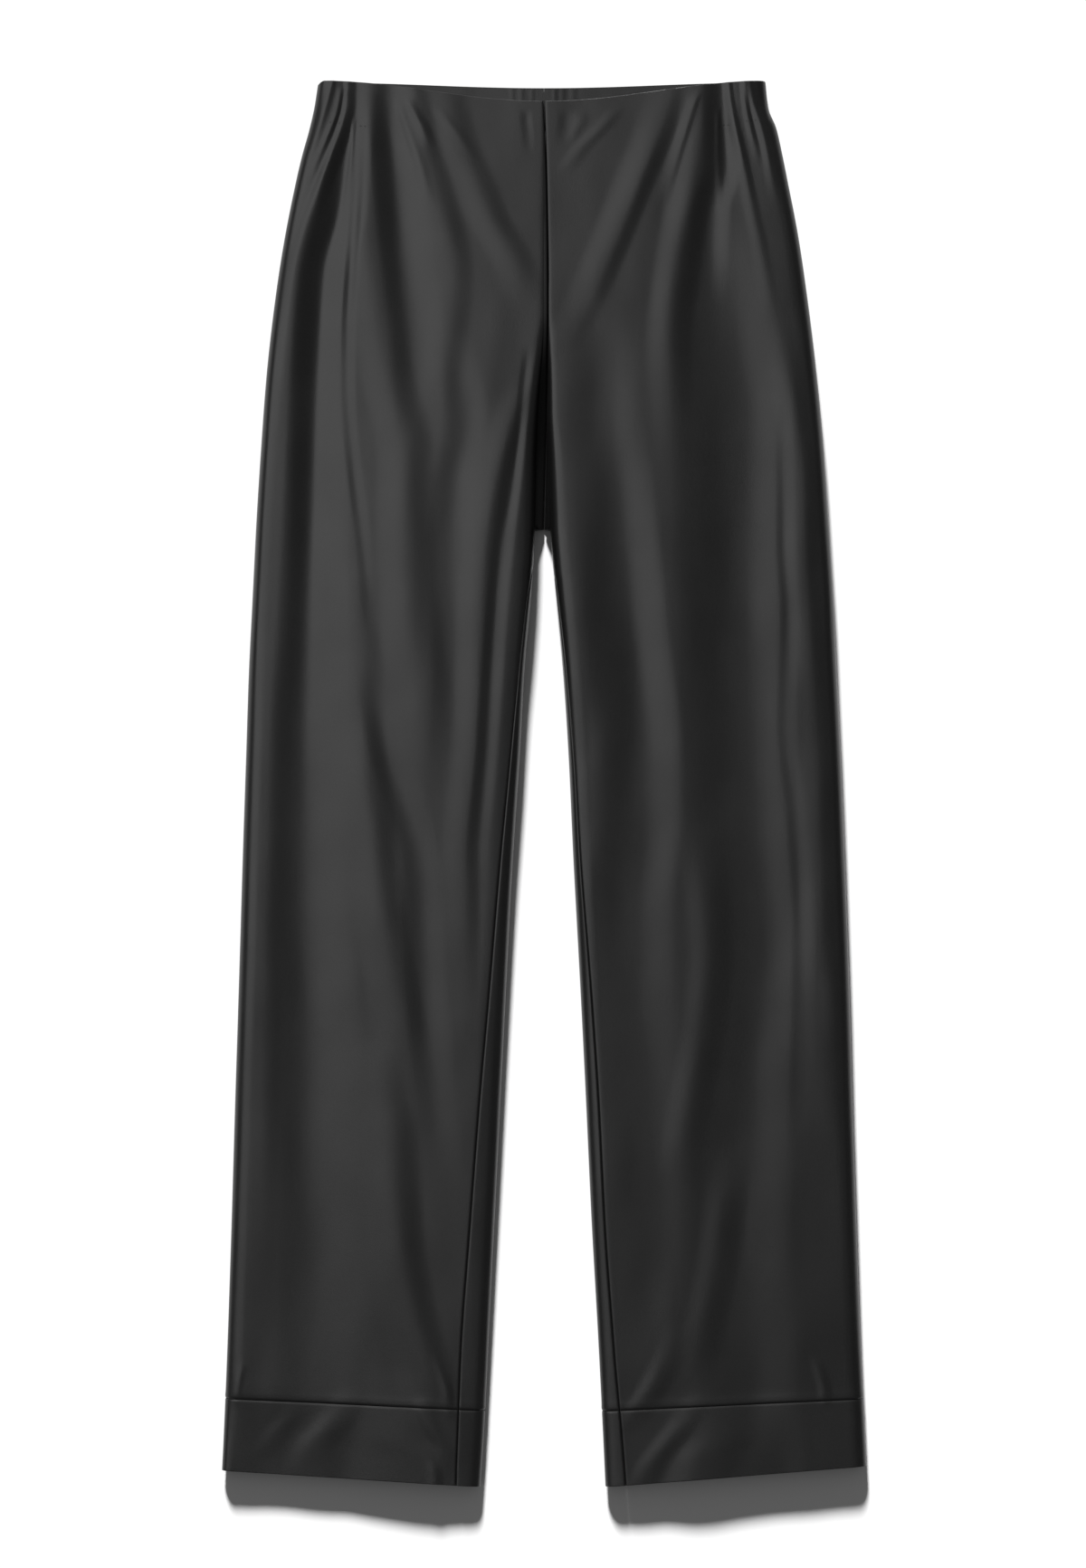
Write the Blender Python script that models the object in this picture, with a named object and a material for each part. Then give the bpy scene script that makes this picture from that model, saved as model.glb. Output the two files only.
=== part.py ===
"""Faux leather leggings, laid flat on their back with the front facing up.

The garment is built as the pieces a maker cuts and sews: a front and a back panel for each
leg, a hem band in a front and a back half for each leg, and the turned-down casing that
shows inside the back of the waist.  Each piece is one closed wall of cloth, and the pieces
lie a seam gap apart.

Frame: metres, +Z up, the waist towards +Y, the hems towards -Y.  The floor is z = 0.
"right" and "left" are the wearer's, so the right leg lies towards -X.
The tables are in millimetres; "down" is the distance below the top of the waist, and every
distance across is measured from the middle of the garment towards that leg's side edge.
"""
import math

import bmesh
import bpy
import numpy as np

MM = 0.001

# Driving sizes, in millimetres.
LENGTH = 1060.0
CROTCH_DOWN = 338.0
CLOTH = 1.5
SEAM_GAP = 0.3
CASING_DEPTH = 30.0
CASING_CLOTH = 1.2

SIDE_SIGN = {"right": -1.0, "left": 1.0}

# The flat garment's sections: how far out its side edge and its inner leg edge lie, how high
# the cloth stands over the floor near each of them, and how far in from the inner leg edge
# the inseam runs (on top where positive, underneath where negative).
SECTION_COLUMNS = (
    "down", "edge_right", "edge_left", "inner_right", "inner_left",
    "loft_side", "loft_inner", "inseam_right", "inseam_left",
)
SECTIONS = (
    (0.0, 170.6, 167.2, 0.0, 0.0, 13.5, 13.5, 0.0, 0.0),
    (18.0, 173.3, 169.3, 0.0, 0.0, 13.8, 13.8, 0.0, 0.0),
    (34.0, 176.8, 175.4, 0.0, 0.0, 14.0, 14.0, 0.0, 0.0),
    (55.0, 182.4, 180.0, 0.0, 0.0, 14.5, 14.4, 0.0, 0.0),
    (75.0, 187.0, 183.9, 0.0, 0.0, 15.0, 15.0, 0.0, 0.0),
    (116.0, 195.2, 191.8, 0.0, 0.0, 15.6, 16.0, 0.0, 0.0),
    (157.0, 201.7, 197.9, 0.0, 0.0, 16.3, 17.5, 0.0, 0.0),
    (218.0, 208.9, 205.4, 0.0, 0.0, 17.0, 19.0, 0.0, 0.0),
    (280.0, 213.6, 211.3, 3.4, 2.4, 18.0, 21.0, -2.2, -2.2),
    (338.0, 217.2, 215.1, 6.8, 4.8, 18.0, 22.0, -2.2, -2.2),
    (360.0, 218.3, 216.5, 7.6, 6.4, 18.0, 22.0, -0.6, -0.8),
    (392.0, 219.9, 218.4, 9.8, 9.5, 18.0, 22.0, 2.4, 1.0),
    (444.0, 222.5, 220.8, 14.3, 14.3, 17.5, 21.0, 4.1, 2.0),
    (510.0, 224.7, 223.9, 18.1, 18.6, 17.0, 20.0, 7.1, 4.0),
    (590.0, 227.4, 227.1, 23.4, 22.3, 16.5, 18.5, 9.7, 5.4),
    (680.0, 230.1, 230.3, 28.2, 27.2, 16.0, 17.0, 12.5, 8.0),
    (770.0, 233.0, 232.8, 32.7, 31.7, 15.0, 16.0, 16.0, 9.6),
    (860.0, 235.7, 235.7, 37.2, 35.9, 14.5, 15.0, 18.4, 9.9),
    (950.0, 238.7, 238.9, 41.7, 41.0, 13.5, 14.0, 20.5, 11.5),
    (1020.0, 241.6, 242.2, 45.2, 44.5, 13.0, 13.0, 19.5, 14.5),
    (1060.0, 243.6, 244.0, 47.8, 46.4, 12.5, 12.5, 17.9, 15.8),
)

# Each fold follows a route of (down, across, height) points: a crest has a positive height and
# a trough a negative one.  Its outer half faces the side edge and its inner half the middle of
# the garment; both widen by "spread" towards the low end.
FOLD_COLUMNS = ("side", "outer", "inner", "spread", "route")
FOLDS = {
    # Wearer's right leg, from the side edge inwards.
    "right_side_trough": (
        "right", 16, 18, 2.9,
        ((-10, 141, -0.6), (20, 143, -1.4), (61, 149, -2.1), (102, 154, -2.6), (143, 164, -2.8),
         (184, 168, -2.9), (253, 171, -3.0), (389, 175, -3.0), (498, 178, -3.0), (621, 177, -2.8),
         (758, 176, -2.5), (860, 171, -1.9), (975, 168, -1.3), (1100, 168, -0.9)),
    ),
    "right_thigh_crest": (
        "right", 18, 20, 1.5,
        ((-10, 131, 0.3), (41, 133, 0.9), (102, 133, 1.2), (171, 127, 1.2), (225, 118, 1.2),
         (280, 105, 1.5), (362, 106, 1.7), (416, 101, 1.4), (471, 91, 0.8), (570, 78, 0.0)),
    ),
    "right_hip_trough": (
        "right", 19, 22, 1.1,
        ((-10, 118, -0.6), (20, 117, -1.7), (61, 112, -2.2), (102, 108, -2.1), (143, 103, -1.6),
         (198, 97, -1.0), (270, 93, 0.0)),
    ),
    "right_belly_crest": (
        "right", 17, 15, 1.2,
        ((-10, 102, 0.3), (41, 92, 0.6), (82, 82, 0.7), (143, 68, 0.7), (198, 72, 0.6), (270, 84, 0.0)),
    ),
    "right_belly_diagonal": (
        "right", 19, 17, 1.1,
        ((-5, 74, 0.2), (41, 64, 0.8), (82, 50, 1.0), (102, 42, 1.0), (123, 30, 0.7), (150, 16, 0.35),
         (180, 5, 0.0)),
    ),
    "right_thigh_trough": (
        "right", 20, 17, 1.0,
        ((190, 70, -0.1), (253, 58, -0.8), (307, 66, -1.0), (362, 68, -0.9), (444, 67, -0.6), (550, 73, 0.0)),
    ),
    "right_inner_thigh_crest": (
        "right", 18, 12, 1.1,
        ((225, 10, 0.0), (253, 24, 0.5), (307, 38, 0.9), (362, 46, 0.9), (416, 49, 0.8), (498, 53, 0.7),
         (587, 60, 0.8), (690, 60, 0.0)),
    ),
    "right_rim_trough": (
        "right", 8, 9, 1.2,
        ((235, 16, 0.0), (307, 25, -0.6), (389, 35, -0.7), (498, 43, -0.5), (600, 53, 0.0)),
    ),
    "right_shin_crest": (
        "right", 18, 18, 1.3,
        ((350, 132, 0.0), (400, 139, 0.5), (498, 137, 1.0), (553, 131, 1.3), (621, 124, 1.3), (689, 112, 0.9),
         (760, 98, 0.0)),
    ),
    "right_shin_trough": (
        "right", 16, 16, 1.2,
        ((440, 130, 0.0), (498, 119, -0.7), (587, 93, -0.9), (655, 90, -0.9), (740, 84, -0.6), (830, 76, 0.0)),
    ),
    "right_ankle_crest": (
        "right", 24, 20, 1.2,
        ((720, 127, 0.0), (792, 114, 1.0), (860, 110, 1.3), (928, 99, 1.4), (985, 80, 0.8), (1030, 66, 0.0)),
    ),
    "right_hem_side_crest": (
        "right", 30, 26, 1.0,
        ((930, 158, 0.0), (1000, 160, 0.5), (1030, 169, 0.8), (1100, 178, 0.9)),
    ),
    "right_hem_inner_crest": (
        "right", 42, 26, 1.0,
        ((965, 104, 0.0), (1014, 101, 0.6), (1031, 91, 0.8), (1100, 86, 0.8)),
    ),
    "right_hem_slope": (
        "right", 60, 150, 1.0, ((985, 236, 0.0), (1030, 238, -1.8), (1100, 240, -3.0)),
    ),
    # Wearer's left leg, from the inner leg edge outwards.
    "left_inner_thigh_trough": (
        "left", 29, 38, 1.1,
        ((170, 45, 0.0), (253, 49, -1.3), (334, 58, -2.4), (389, 63, -3.0), (444, 70, -2.9), (498, 76, -2.5),
         (553, 76, -2.2), (621, 70, -1.7), (689, 70, -1.4), (758, 76, -1.2), (860, 84, -0.9), (960, 80, 0.0)),
    ),
    "left_side_trough": (
        "left", 36, 54, 1.1,
        ((80, 124, 0.0), (143, 134, -1.7), (198, 145, -2.3), (253, 152, -2.5), (334, 151, -2.6),
         (444, 153, -2.5), (553, 158, -2.3), (655, 164, -2.1), (758, 156, -1.9), (860, 150, -1.4),
         (985, 152, -0.9), (1031, 164, -0.9), (1100, 170, -0.9)),
    ),
    "left_side_crest": (
        "left", 11, 17, 1.1,
        ((180, 180, 0.0), (225, 186, 0.5), (307, 195, 0.9), (348, 196, 0.9), (416, 200, 0.8), (484, 204, 0.6),
         (553, 207, 0.6), (621, 209, 0.6), (689, 213, 0.5), (780, 216, 0.3), (860, 218, 0.0)),
    ),
    "left_side_step": (
        "left", 9, 7, 1.3,
        ((225, 182, 0.0), (300, 181, -0.3), (348, 181, -0.4), (400, 184, -0.35), (486, 182, -0.3),
         (553, 189, -0.3), (640, 194, -0.35), (760, 192, -0.2), (830, 190, 0.0)),
    ),
    "left_belly_crest": (
        "left", 17, 19, 1.2,
        ((-10, 121, 0.3), (20, 119, 0.9), (61, 114, 1.3), (102, 107, 1.8), (143, 101, 1.6), (198, 95, 1.0),
         (300, 94, 0.3), (420, 102, 0.0)),
    ),
    "left_belly_diagonal": (
        "left", 14, 22, 1.0,
        ((0, 96, 0.3), (41, 84, 1.0), (82, 69, 1.3), (123, 53, 1.1), (171, 32, 0.4), (205, 14, 0.0)),
    ),
    "left_hip_trough": (
        "left", 12, 15, 1.3,
        ((-10, 132, -0.8), (20, 134, -1.5), (61, 136, -1.7), (102, 127, -1.3), (170, 124, 0.0)),
    ),
    "left_knee_crest": (
        "left", 20, 18, 1.0,
        ((560, 120, 0.0), (606, 122, 0.5), (655, 125, 0.7), (702, 121, 0.7), (758, 111, 0.6), (830, 96, 0.0)),
    ),
    "left_ankle_crest": (
        "left", 20, 18, 1.0,
        ((800, 140, 0.0), (860, 134, 0.7), (900, 128, 0.7), (985, 108, 0.0)),
    ),
    "left_hem_rise": (
        "left", 80, 70, 1.0, ((985, 150, 0.0), (1030, 145, 1.2), (1100, 140, 2.4)),
    ),
    "left_hem_crest": (
        "left", 38, 28, 1.0,
        ((960, 130, 0.0), (1014, 127, 0.7), (1031, 116, 0.8), (1100, 98, 0.8)),
    ),
}

# Above the crotch the two fronts roll down into a valley along the centre seam: the share of
# the drop that is taken, how far out each side's roll begins, and how wide that roll is.
VALLEY_COLUMNS = ("down", "share", "gap_right", "gap_left", "roll_right", "roll_left")
VALLEY = (
    (0.0, 0.03, 0.0, 0.0, 4.0, 4.0),
    (175.0, 0.05, 0.0, 0.0, 6.0, 5.0),
    (200.0, 0.30, 0.8, 0.5, 8.0, 6.0),
    (225.0, 0.66, 2.6, 1.4, 10.0, 7.0),
    (252.0, 0.88, 4.6, 2.3, 12.0, 8.5),
    (285.0, 0.97, 5.9, 3.3, 16.0, 11.0),
    (338.0, 1.0, 6.8, 4.8, 20.0, 14.0),
)
VALLEY_FLOOR = 2 * CLOTH - 0.1
MIN_WALL = 0.2
CENTRE_SEAM_BOW = 3.0

# The rolled edges of the flat tube: a round tip, and a shoulder that rises on to the top.
TIP_WIDTH = 8.0
TIP_SHARE = 0.8
TIP_TO_SHOULDER = 0.6
MID_SHARE = 0.46
SIDE_SHOULDER = 13.0
INNER_SHOULDER = {"right": 20.0, "left": 14.0}
SIDE_SEAM_UNDER = 0.5
RELIEF_FADE_SIDE = 12.0
RELIEF_FADE_INNER = 16.0

# The waist edge dips towards the middle, more at the front than at the back, and its two
# corners are round.
WAIST_HALF = 170.0
WAIST_DIP = {"front": 15.5, "back": 4.2}
WAIST_CORNER = 5.0
WAIST_CORNER_DROP = 2.5
DIP_FADE = 70.0

# The hem band's seam and its lower edge, at the side edge, and how much further down each
# of them is at the inner leg edge.
BAND_SEAM_DOWN = {"right": 993.4, "left": 993.7}
BAND_SEAM_SLANT = {"right": 9.2, "left": 9.3}
HEM_DOWN = {"right": 1047.7, "left": 1044.3}
HEM_SLANT = {"right": LENGTH - 1047.7, "left": LENGTH - 1044.3}

# Rows of points down a leg panel, and how many columns of faces each piece has.
PANEL_ROWS = (
    0, 9, 20, 33, 48, 65, 85, 108, 133, 160, 188, 215, 240, 264, 288, 312, CROTCH_DOWN,
    CROTCH_DOWN + 1.5, 348, 360, 375, 392, 416, 446, 482, 524, 572, 626, 684, 744, 804,
    862, 914, 956,
)
BAND_ROWS = 3
CASING_ROWS = 3
COLUMNS = {"front": 32, "back": 16}
TURN_WEIGHT = 28.0

# How finely a section is worked out before the columns are placed on it, and how far a leg's
# closed section laps over itself.
TOP_SAMPLES = 160
WALL_SAMPLES = 12
LAP = 60

# Faux leather: a near-black coating with a soft satin shine, and its plain inner side.
LEATHER_COLOUR = (0.030, 0.030, 0.031)
LEATHER_ROUGHNESS = 0.42
INSIDE_COLOUR = (0.040, 0.039, 0.038)
INSIDE_ROUGHNESS = 0.62


def clear_scene():
    """Remove whatever objects the open file holds."""
    for item in list(bpy.data.objects):
        bpy.data.objects.remove(item, do_unlink=True)


def smooth_curve(stations, values, at):
    """A value on a smooth curve through the points, which never overshoots them."""
    steps = np.diff(stations)
    rises = np.diff(values) / steps
    agree = rises[:-1] * rises[1:] > 0.0
    total = np.where(agree, rises[:-1] + rises[1:], 1.0)
    inner_slopes = np.where(agree, 2.0 * rises[:-1] * rises[1:] / total, 0.0)
    slopes = np.concatenate((rises[:1], inner_slopes, rises[-1:]))
    i = int(np.clip(np.searchsorted(stations, at) - 1, 0, len(steps) - 1))
    t = float(np.clip((at - stations[i]) / steps[i], 0.0, 1.0))
    start = slopes[i] * steps[i]
    end = slopes[i + 1] * steps[i]
    rise = values[i + 1] - values[i]
    return values[i] + start * t + (3 * rise - 2 * start - end) * t**2 + (start + end - 2 * rise) * t**3


def table_value(table, columns, name, down):
    """One named column of a table at a distance down."""
    rows = np.array(table, float)
    return smooth_curve(rows[:, 0], rows[:, columns.index(name)], down)


def section_value(name, down):
    """One named column of the section table."""
    return table_value(SECTIONS, SECTION_COLUMNS, name, down)


def valley_value(name, down):
    """One named column of the valley table."""
    return table_value(VALLEY, VALLEY_COLUMNS, name, down)


def smooth_step(value):
    """0 below 0, 1 above 1, and an even ramp between."""
    t = np.clip(value, 0.0, 1.0)
    return t * t * (3.0 - 2.0 * t)


def fold_relief(side, down, across):
    """Height that the folds add to one side's top at a distance down."""
    relief = np.zeros_like(across)
    for values in FOLDS.values():
        fold = dict(zip(FOLD_COLUMNS, values))
        route = np.array(fold["route"], float)
        top = route[0, 0]
        low = route[-1, 0]
        if fold["side"] != side or not top < down < low:
            continue
        line = smooth_curve(route[:, 0], route[:, 1], down)
        height = smooth_curve(route[:, 0], route[:, 2], down)
        widen = 1.0 + (fold["spread"] - 1.0) * (down - top) / (low - top)
        width = np.where(across > line, fold["outer"], fold["inner"]) * widen
        reach = np.clip(np.abs(across - line) / width, 0.0, 1.0)
        relief += height * 0.5 * (1.0 + np.cos(math.pi * reach))
    return relief


def quarter_round(distance, width):
    """Height share of a quarter-round edge: 0 at the edge and 1 from its width inwards."""
    left = 1.0 - np.clip(distance / width, 0.0, 1.0)
    return np.sqrt(1.0 - left * left)


def edge_rise(distance, shoulder):
    """Height share of a rolled edge with its shoulder."""
    left = 1.0 - np.clip(distance / shoulder, 0.0, 1.0)
    tip = min(TIP_WIDTH, TIP_TO_SHOULDER * shoulder)
    return TIP_SHARE * quarter_round(distance, tip) + (1.0 - TIP_SHARE) * (1.0 - left * left)


def centre_seam(down):
    """How far the centre front seam lies towards the wearer's left."""
    return CENTRE_SEAM_BOW * math.sin(math.pi * min(down / CROTCH_DOWN, 1.0))


def edge_samples(width):
    """Distances in from a rolled edge, close together at its tip."""
    angles = np.linspace(0.0, math.pi / 2, 25)
    return width * (1.0 - np.cos(angles))


def row_frame(side, down):
    """Side edge, inner end, and the drop from the side edge to the inner edge of one row."""
    slant = np.interp(
        down,
        (CROTCH_DOWN, BAND_SEAM_DOWN[side], HEM_DOWN[side]),
        (0.0, BAND_SEAM_SLANT[side], HEM_SLANT[side]),
    )
    edge = section_value("edge_" + side, down)
    if down > CROTCH_DOWN:
        inner = section_value("inner_" + side, down + slant)
    else:
        inner = SEAM_GAP / 2 + SIDE_SIGN[side] * centre_seam(down)
    return edge, inner, slant


def top_heights(side, down, across, edge, inner):
    """Height of the upper surface across one row."""
    loft_side = section_value("loft_side", down)
    loft_inner = section_value("loft_inner", down)
    share = np.clip((edge - across) / (edge - section_value("inner_" + side, down)), 0.0, 1.0)
    loft = loft_side + (loft_inner - loft_side) * smooth_step(share)
    middle = MID_SHARE * loft
    relief = fold_relief(side, down, across) * smooth_step((edge - across) / RELIEF_FADE_SIDE)
    if down > CROTCH_DOWN:
        relief *= smooth_step((across - inner) / RELIEF_FADE_INNER)
        rise = edge_rise(edge - across, SIDE_SHOULDER) * edge_rise(across - inner, INNER_SHOULDER[side])
        return middle + (loft + relief - middle) * rise
    share = valley_value("share", down)
    gap = max(inner + MIN_WALL, valley_value("gap_" + side, down))
    roll = valley_value("roll_" + side, down)
    relief *= 1.0 - share * (1.0 - smooth_step((across - gap) / RELIEF_FADE_INNER))
    height = middle + (loft + relief - middle) * edge_rise(edge - across, SIDE_SHOULDER)
    rolled = middle + (height - middle) * edge_rise(across - gap, roll)
    wall = np.clip((across - inner) / (gap - inner), 0.0, 1.0)
    dropped = np.where(across > gap, rolled, VALLEY_FLOOR + (middle - VALLEY_FLOOR) * wall)
    return height + (dropped - height) * share


def bottom_heights(down, across, edge, inner):
    """Height of the underside across one row: flat on the floor but for the rolled edges."""
    loft_side = section_value("loft_side", down)
    loft_inner = section_value("loft_inner", down)
    lift = MID_SHARE * loft_side * (1.0 - quarter_round(edge - across, TIP_WIDTH))
    if down > CROTCH_DOWN:
        lift += MID_SHARE * loft_inner * (1.0 - quarter_round(across - inner, TIP_WIDTH))
    return lift


def section(side, down):
    """One row's section, walked from the inner end outwards underneath and back over the top.

    Gives the distance walked, the points, the inward normals, and the places of the side seam
    and of both panels' inner ends.
    """
    edge, inner, _ = row_frame(side, down)
    tip = edge_samples(TIP_WIDTH)
    is_leg = down > CROTCH_DOWN
    back_inner = inner if is_leg else SEAM_GAP / 2
    roll = inner if is_leg else max(inner + MIN_WALL, valley_value("gap_" + side, down))
    wall = [] if is_leg else np.linspace(roll, inner, WALL_SAMPLES)[1:]
    under = np.concatenate((
        back_inner + tip,
        np.linspace(back_inner + TIP_WIDTH, edge - TIP_WIDTH, 30)[1:-1],
        (edge - tip)[::-1],
    ))
    over = np.concatenate((
        edge - tip[1:],
        np.linspace(edge - TIP_WIDTH, roll + TIP_WIDTH, TOP_SAMPLES)[1:-1],
        (roll + tip)[::-1],
        wall,
    ))
    across = np.concatenate((under, over))
    heights = np.concatenate((
        bottom_heights(down, under, edge, inner),
        top_heights(side, down, over, edge, inner),
    ))
    split = len(under)
    if is_leg:
        across = np.concatenate((across[-LAP:-1], across, across[1:LAP]))
        heights = np.concatenate((heights[-LAP:-1], heights, heights[1:LAP]))
        split += LAP - 1
    walked = np.concatenate(([0.0], np.cumsum(np.hypot(np.diff(across), np.diff(heights)))))
    direction_x = np.gradient(across, walked)
    direction_z = np.gradient(heights, walked)
    length = np.hypot(direction_x, direction_z)
    normal_x = -direction_z / length
    normal_z = direction_x / length
    from_edge = (edge - across)[split - 25:split]
    side_seam = np.interp(SIDE_SEAM_UNDER, from_edge[::-1], walked[split - 25:split][::-1])
    if is_leg:
        start = walked[LAP - 1]
        finish = walked[-LAP]
        inseam = section_value("inseam_" + side, down)
        if inseam >= 0.0:
            from_inner = across[split:1 - LAP] - inner
            place = np.interp(inseam, from_inner[::-1], walked[split:1 - LAP][::-1])
            past = finish - place
        else:
            from_inner = across[LAP - 1:split] - inner
            past = start - np.interp(-inseam, from_inner, walked[LAP - 1:split])
        front_end = finish - past - SEAM_GAP / 2
        back_end = start - past + SEAM_GAP / 2
    else:
        front_end = walked[-1]
        back_end = walked[0]
    return walked, across, heights, normal_x, normal_z, side_seam, front_end, back_end


def spread_columns(walked, normal_x, normal_z, start, end, count):
    """Places of the columns along a row, closer together where the cloth turns."""
    heading = np.unwrap(np.arctan2(normal_z, normal_x))
    turned = np.concatenate(([0.0], np.cumsum(np.abs(np.diff(heading)))))
    effort = walked + TURN_WEIGHT * turned
    first, last = np.interp((start, end), walked, effort)
    return np.interp(np.linspace(first, last, count + 1), effort, walked)


def waist_dip(part, across):
    """How far the waist edge of the front or the back lies below its highest line."""
    share = np.clip(np.abs(across) / WAIST_HALF, 0.0, 1.0)
    corner = np.clip((np.abs(across) - WAIST_HALF) / WAIST_CORNER + 1.0, 0.0, 1.0)
    return WAIST_DIP[part] * np.cos(share * math.pi / 2) ** 2 + WAIST_CORNER_DROP * corner**2


def row_points(side, part, down, depth, side_margin=0.0):
    """Points of one row of a piece, at a depth below the garment's outer surface."""
    walked, across, heights, normal_x, normal_z, side_seam, front_end, back_end = section(side, down)
    if part == "front":
        start = side_seam + SEAM_GAP / 2
        end = front_end
    else:
        start = side_seam - SEAM_GAP / 2 - side_margin
        end = back_end
    stations = spread_columns(walked, normal_x, normal_z, start, end, COLUMNS[part])
    x = np.interp(stations, walked, across) + depth * np.interp(stations, walked, normal_x)
    z = np.interp(stations, walked, heights) + depth * np.interp(stations, walked, normal_z)
    edge, inner, slant = row_frame(side, down)
    share = np.clip((edge - x) / (edge - inner), 0.0, 1.0)
    dip = waist_dip(part, x) * max(0.0, 1.0 - down / DIP_FADE)
    y = LENGTH / 2 - down - slant * share - dip
    return np.stack((SIDE_SIGN[side] * x, y, z), axis=1) * MM


def piece(name, side, part, rows, depth, cloth, material, side_margin=0.0):
    """One closed wall of cloth: an outer and an inner face and the rim between them."""
    work = bmesh.new()
    outer = []
    inner = []
    for down in rows:
        outer.append([work.verts.new(p) for p in row_points(side, part, down, depth, side_margin)])
        inner.append([work.verts.new(p) for p in row_points(side, part, down, depth + cloth, side_margin)])
    last_row = len(rows) - 1
    last_column = COLUMNS[part]
    for i in range(last_row):
        for j in range(last_column):
            work.faces.new((outer[i][j], outer[i][j + 1], outer[i + 1][j + 1], outer[i + 1][j]))
            work.faces.new((inner[i][j], inner[i + 1][j], inner[i + 1][j + 1], inner[i][j + 1]))
    for i in range(last_row):
        for j in (0, last_column):
            work.faces.new((outer[i][j], outer[i + 1][j], inner[i + 1][j], inner[i][j]))
    for j in range(last_column):
        for i in (0, last_row):
            work.faces.new((outer[i][j], outer[i][j + 1], inner[i][j + 1], inner[i][j]))
    bmesh.ops.recalc_face_normals(work, faces=work.faces)
    mesh = bpy.data.meshes.new(name)
    work.to_mesh(mesh)
    work.free()
    mesh.shade_smooth()
    mesh.set_sharp_from_angle(angle=math.radians(50.0))
    mesh.materials.append(material)
    item = bpy.data.objects.new(name, mesh)
    bpy.context.collection.objects.link(item)
    return item


def cloth_material(name, colour, roughness):
    """A Principled material for one piece of cloth."""
    material = bpy.data.materials.new(name)
    material.use_nodes = True
    shader = material.node_tree.nodes["Principled BSDF"]
    shader.inputs["Base Color"].default_value = (*colour, 1.0)
    shader.inputs["Roughness"].default_value = roughness
    shader.inputs["Metallic"].default_value = 0.0
    return material


def leather(name):
    """The faux leather of one outer piece."""
    return cloth_material(name + "_leather", LEATHER_COLOUR, LEATHER_ROUGHNESS)


def leg_panels(side):
    """The front and the back panel of one leg, from the waist to the hem band's seam."""
    rows = PANEL_ROWS + (BAND_SEAM_DOWN[side] - SEAM_GAP / 2,)
    for part in ("front", "back"):
        name = f"{part}_panel_{side}"
        piece(name, side, part, rows, 0.0, CLOTH, leather(name))


def hem_band(side):
    """The front and the back half of one leg's hem band."""
    rows = np.linspace(BAND_SEAM_DOWN[side] + SEAM_GAP / 2, HEM_DOWN[side], BAND_ROWS + 1)
    for part in ("front", "back"):
        name = f"hem_band_{part}_{side}"
        piece(name, side, part, rows, 0.0, CLOTH, leather(name))


def waist_casing(side):
    """The turned-down top of one back panel, which shows inside the open waist."""
    name = f"waist_casing_{side}"
    rows = np.linspace(1.0, CASING_DEPTH, CASING_ROWS + 1)
    material = cloth_material(name + "_inside", INSIDE_COLOUR, INSIDE_ROUGHNESS)
    piece(name, side, "back", rows, CLOTH + SEAM_GAP, CASING_CLOTH, material, side_margin=16.0)


def main():
    """Build the whole garment."""
    clear_scene()
    for side in ("right", "left"):
        leg_panels(side)
        hem_band(side)
        waist_casing(side)


main()
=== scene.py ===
"""The looks of the faux leather leggings: cloth, seams, stitches, floor, light and camera.

Every piece of cloth is a thin shell on the form of the solid that it replaces, worked out from
the same sections, with the creases of the laid garment added.  The tables are in millimetres:
"down" is the distance below the top of the waist, and a place across is measured from the
middle of the garment towards that leg's side edge.  "right" and "left" are the wearer's.
"""
import math

import bmesh
import bpy
import numpy as np
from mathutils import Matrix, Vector


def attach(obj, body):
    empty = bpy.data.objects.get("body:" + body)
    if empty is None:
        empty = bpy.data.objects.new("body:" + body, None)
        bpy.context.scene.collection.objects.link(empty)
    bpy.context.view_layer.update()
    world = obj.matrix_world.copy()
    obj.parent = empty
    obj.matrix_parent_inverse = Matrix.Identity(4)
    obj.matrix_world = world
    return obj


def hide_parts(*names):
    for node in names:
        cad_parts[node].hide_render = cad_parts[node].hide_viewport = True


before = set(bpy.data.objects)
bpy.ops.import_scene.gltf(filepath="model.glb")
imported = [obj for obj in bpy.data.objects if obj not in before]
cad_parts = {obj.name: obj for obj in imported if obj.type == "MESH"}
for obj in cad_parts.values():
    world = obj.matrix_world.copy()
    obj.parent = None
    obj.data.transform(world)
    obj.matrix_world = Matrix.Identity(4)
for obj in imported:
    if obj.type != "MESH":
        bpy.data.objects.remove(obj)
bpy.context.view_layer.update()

MM = 0.001

# ---------------------------------------------------------------- the garment's driving sizes

LENGTH = 1060.0
CROTCH_DOWN = 338.0
CLOTH = 1.2
SEAM_GAP = 0.06
SOLID_CLOTH = 1.5
SOLID_GAP = 0.3
CASING_TOP = 1.0
CASING_DEPTH = 30.0
CASING_CLOTH = 1.0
CASING_MARGIN = 16.0
SIDES = ("right", "left")
SIDE_SIGN = {"right": -1.0, "left": 1.0}

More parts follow.
